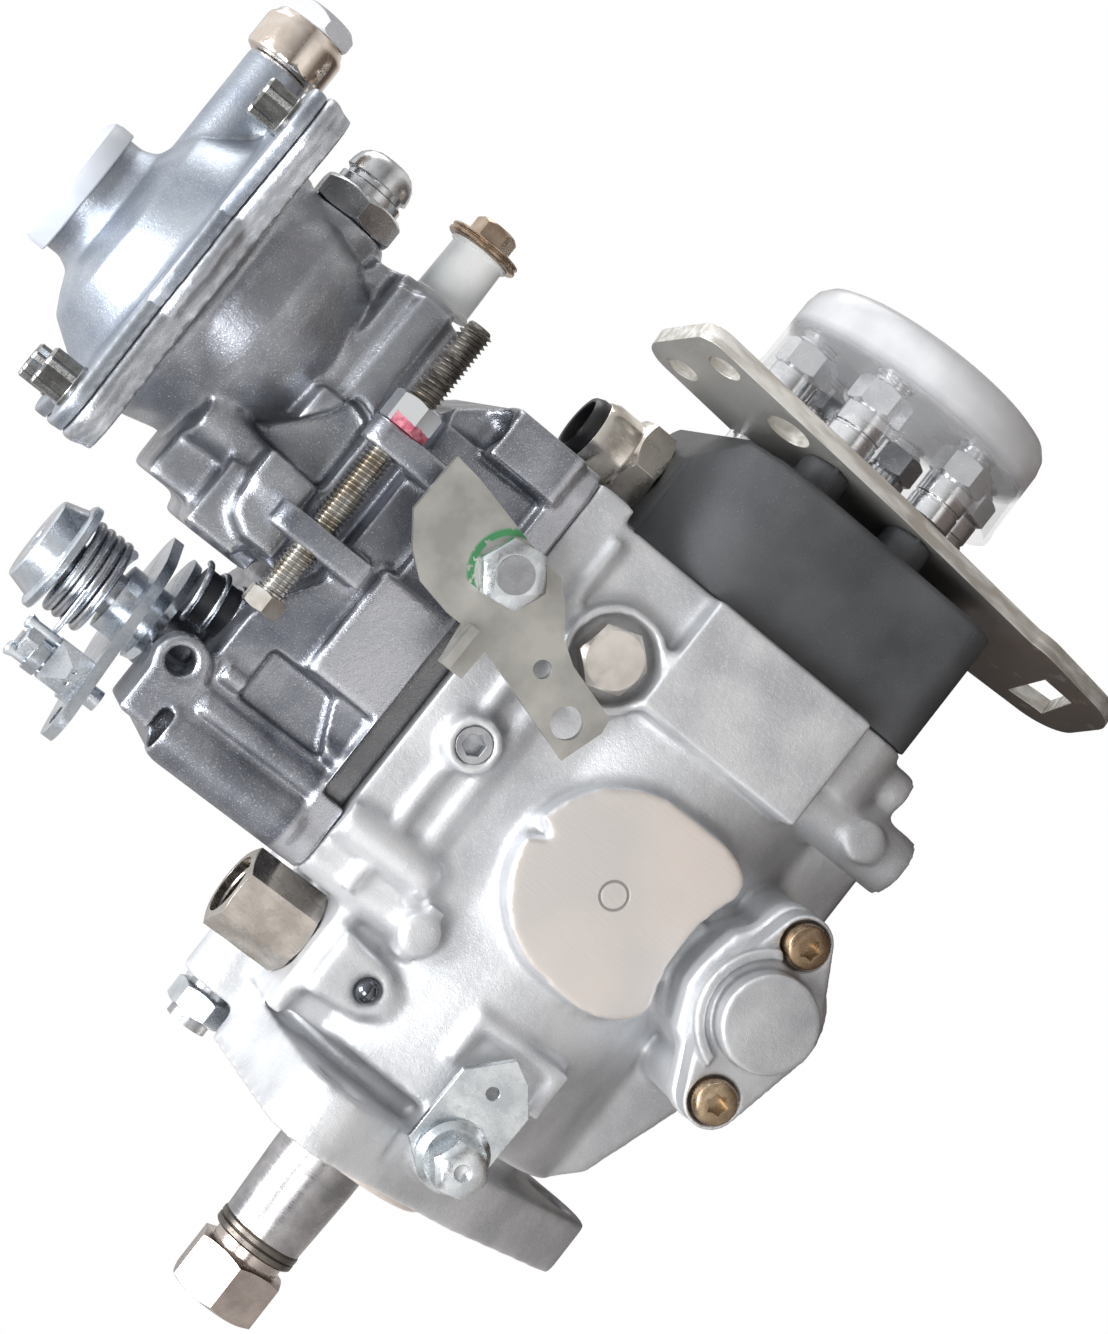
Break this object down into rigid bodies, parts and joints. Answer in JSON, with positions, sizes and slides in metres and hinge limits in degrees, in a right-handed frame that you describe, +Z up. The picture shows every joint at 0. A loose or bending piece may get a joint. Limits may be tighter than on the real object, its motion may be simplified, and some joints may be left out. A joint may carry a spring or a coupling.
{
  "type": "diesel injection pump",
  "caption": "Distributor fuel injection pump with tapered drive shaft, flyweight governor, boost compensator, speed and stop levers and capped rear outlets",
  "frame": {"origin": "where the drive axis crosses the mounting face of the flange", "axes": "+X along the drive axis from the mounting face to the distributor head, +Z up towards the boost compensator, -Y out of the pictured side"},
  "size_m": [0.2669, 0.126, 0.2625],
  "materials": {
    "cast_aluminium": "as-cast, satin, faint grain",
    "cover_aluminium": "die-cast, smoother and darker",
    "bright_aluminium": "die-cast, bright satin",
    "phosphated_steel": "dark phosphate, satin",
    "plate_steel": "dark phosphated face with a worn light edge",
    "ground_steel": "ground",
    "inner_steel": "machined, oiled",
    "zinc": "bright zinc plate",
    "lever_zinc": "dull yellowish zinc plate",
    "nickel": "nickel plate, warm",
    "brass": "yellow passivated, satin",
    "white_plastic": "moulded, slightly translucent",
    "clear_plastic": "thin translucent moulding",
    "black_plastic": "moulded, matt",
    "spring_steel": "drawn wire, bright",
    "bronze": "sintered"
  },
  "bodies": {
    "housing": {"pump_housing": "cast_aluminium", "supply_pump_ring": "inner_steel", "governor_shaft": "ground_steel", "governor_shaft_nut": "nickel", "timing_covers": "cast_aluminium", "timing_cover_screws": "brass", "governor_cover": "cover_aluminium", "cover_screws": "zinc", "compensator_housing": "cover_aluminium", "compensator_cover": "bright_aluminium", "compensator_screws": "zinc", "compensator_cap": "white_plastic", "boost_union": "nickel", "boost_union_plug": "white_plastic", "vent_fitting": "nickel", "full_load_sleeve": "white_plastic", "full_load_screw": "brass", "speed_stop_screw": "zinc", "stop_screw_nut": "zinc", "distributor_head": "phosphated_steel", "head_bolts": "zinc", "valve_holders": "zinc", "outlet_cap": "clear_plastic", "support_plate": "plate_steel", "inlet_fitting": "zinc", "port_adapter": "nickel", "port_plug": "black_plastic", "lock_bolt": "zinc", "lock_plate": "zinc", "ball_plug": "inner_steel", "pivot_screws": "inner_steel", "access_plug": "nickel"},
    "drive": {"drive_shaft": "ground_steel", "shaft_nut": "nickel", "shaft_washer": "nickel", "vane_rotor": "inner_steel", "supply_vanes": "inner_steel", "drive_gear": "inner_steel", "cam_plate": "inner_steel", "distributor_plunger": "ground_steel"},
    "governor": {"governor_cage": "inner_steel"},
    "flyweight_a": {"flyweight_1": "inner_steel"},
    "flyweight_b": {"flyweight_2": "inner_steel"},
    "flyweight_c": {"flyweight_3": "inner_steel"},
    "flyweight_d": {"flyweight_4": "inner_steel"},
    "sleeve": {"governor_sleeve": "ground_steel"},
    "governor_levers": {"governor_lever": "inner_steel"},
    "spool": {"control_spool": "ground_steel"},
    "timing": {"timing_piston": "ground_steel"},
    "rollers": {"roller_ring": "inner_steel", "cam_rollers": "ground_steel"},
    "speed": {"throttle_shaft": "ground_steel", "speed_lever": "zinc", "speed_lever_cap": "zinc", "speed_lever_spring": "spring_steel"},
    "stop": {"stop_shaft": "zinc", "stop_lever": "lever_zinc", "stop_lever_nut": "zinc"},
    "compensator": {"compensator_plunger": "ground_steel"},
    "valves": {"delivery_valves": "ground_steel"}
  },
  "joints": [
    {"name": "drive_spin", "type": "hinge", "parent": "housing", "child": "drive", "pos_m": [0, 0, 0], "axis": [1, 0, 0], "continuous": true},
    {"name": "governor_spin", "type": "hinge", "parent": "housing", "child": "governor", "pos_m": [0.05, 0, 0.044], "axis": [1, 0, 0], "continuous": true},
    {"name": "sleeve_slide", "type": "slide", "parent": "housing", "child": "sleeve", "axis": [1, 0, 0], "range_m": [0, 0.004], "stiffness_N_per_m": 1500, "springref_m": -0.004},
    {"name": "flyweight_a_swing", "type": "hinge", "parent": "governor", "child": "flyweight_a", "pos_m": [0.0585, 0, 0.055], "axis": [0, -1, 0], "range_deg": [0, 12.5]},
    {"name": "flyweight_b_swing", "type": "hinge", "parent": "governor", "child": "flyweight_b", "pos_m": [0.0585, -0.011, 0.044], "axis": [0, 0, -1], "range_deg": [0, 12.5]},
    {"name": "flyweight_c_swing", "type": "hinge", "parent": "governor", "child": "flyweight_c", "pos_m": [0.0585, 0, 0.033], "axis": [0, 1, 0], "range_deg": [0, 12.5]},
    {"name": "flyweight_d_swing", "type": "hinge", "parent": "governor", "child": "flyweight_d", "pos_m": [0.0585, 0.011, 0.044], "axis": [0, 0, 1], "range_deg": [0, 12.5]},
    {"name": "lever_swing", "type": "hinge", "parent": "housing", "child": "governor_levers", "pos_m": [0.107, 0, 0.028], "axis": [0, 1, 0], "range_deg": [0, 10.6]},
    {"name": "spool_slide", "type": "slide", "parent": "housing", "child": "spool", "axis": [1, 0, 0], "range_m": [-0.0034, 0]},
    {"name": "timing_slide", "type": "slide", "parent": "housing", "child": "timing", "axis": [0, 1, 0], "range_m": [0, 0.005], "stiffness_N_per_m": 3000, "springref_m": -0.002},
    {"name": "roller_ring_turn", "type": "hinge", "parent": "housing", "child": "rollers", "pos_m": [0.078, 0, 0], "axis": [1, 0, 0], "range_deg": [0, 10.6]},
    {"name": "speed_lever_turn", "type": "hinge", "parent": "housing", "child": "speed", "pos_m": [0.063, 0, 0.1], "axis": [0, 0, 1], "range_deg": [0, 45], "stiffness_Nm_per_rad": 0.4, "springref_deg": -22.92},
    {"name": "stop_lever_turn", "type": "hinge", "parent": "housing", "child": "stop", "pos_m": [0.1177, -0.05, 0.061], "axis": [0, 1, 0], "range_deg": [0, 25], "stiffness_Nm_per_rad": 0.3, "springref_deg": -22.92},
    {"name": "compensator_slide", "type": "slide", "parent": "housing", "child": "compensator", "axis": [0, 0, -1], "range_m": [0, 0.005], "stiffness_N_per_m": 8000, "springref_m": -0.002},
    {"name": "valve_lift", "type": "slide", "parent": "housing", "child": "valves", "axis": [1, 0, 0], "range_m": [0, 0.0015], "stiffness_N_per_m": 4000, "springref_m": -0.002}
  ],
  "couplings": [
    {"joint": "governor_spin", "follows": "drive_spin", "ratio": -1.5882},
    {"joint": "flyweight_a_swing", "follows": "sleeve_slide", "rad_per_m": 52.36},
    {"joint": "flyweight_b_swing", "follows": "sleeve_slide", "rad_per_m": 52.36},
    {"joint": "flyweight_c_swing", "follows": "sleeve_slide", "rad_per_m": 52.36},
    {"joint": "flyweight_d_swing", "follows": "sleeve_slide", "rad_per_m": 52.36},
    {"joint": "lever_swing", "follows": "sleeve_slide", "rad_per_m": 45.45},
    {"joint": "spool_slide", "follows": "sleeve_slide", "ratio": -0.82},
    {"joint": "roller_ring_turn", "follows": "timing_slide", "rad_per_m": 35.1}
  ]
}
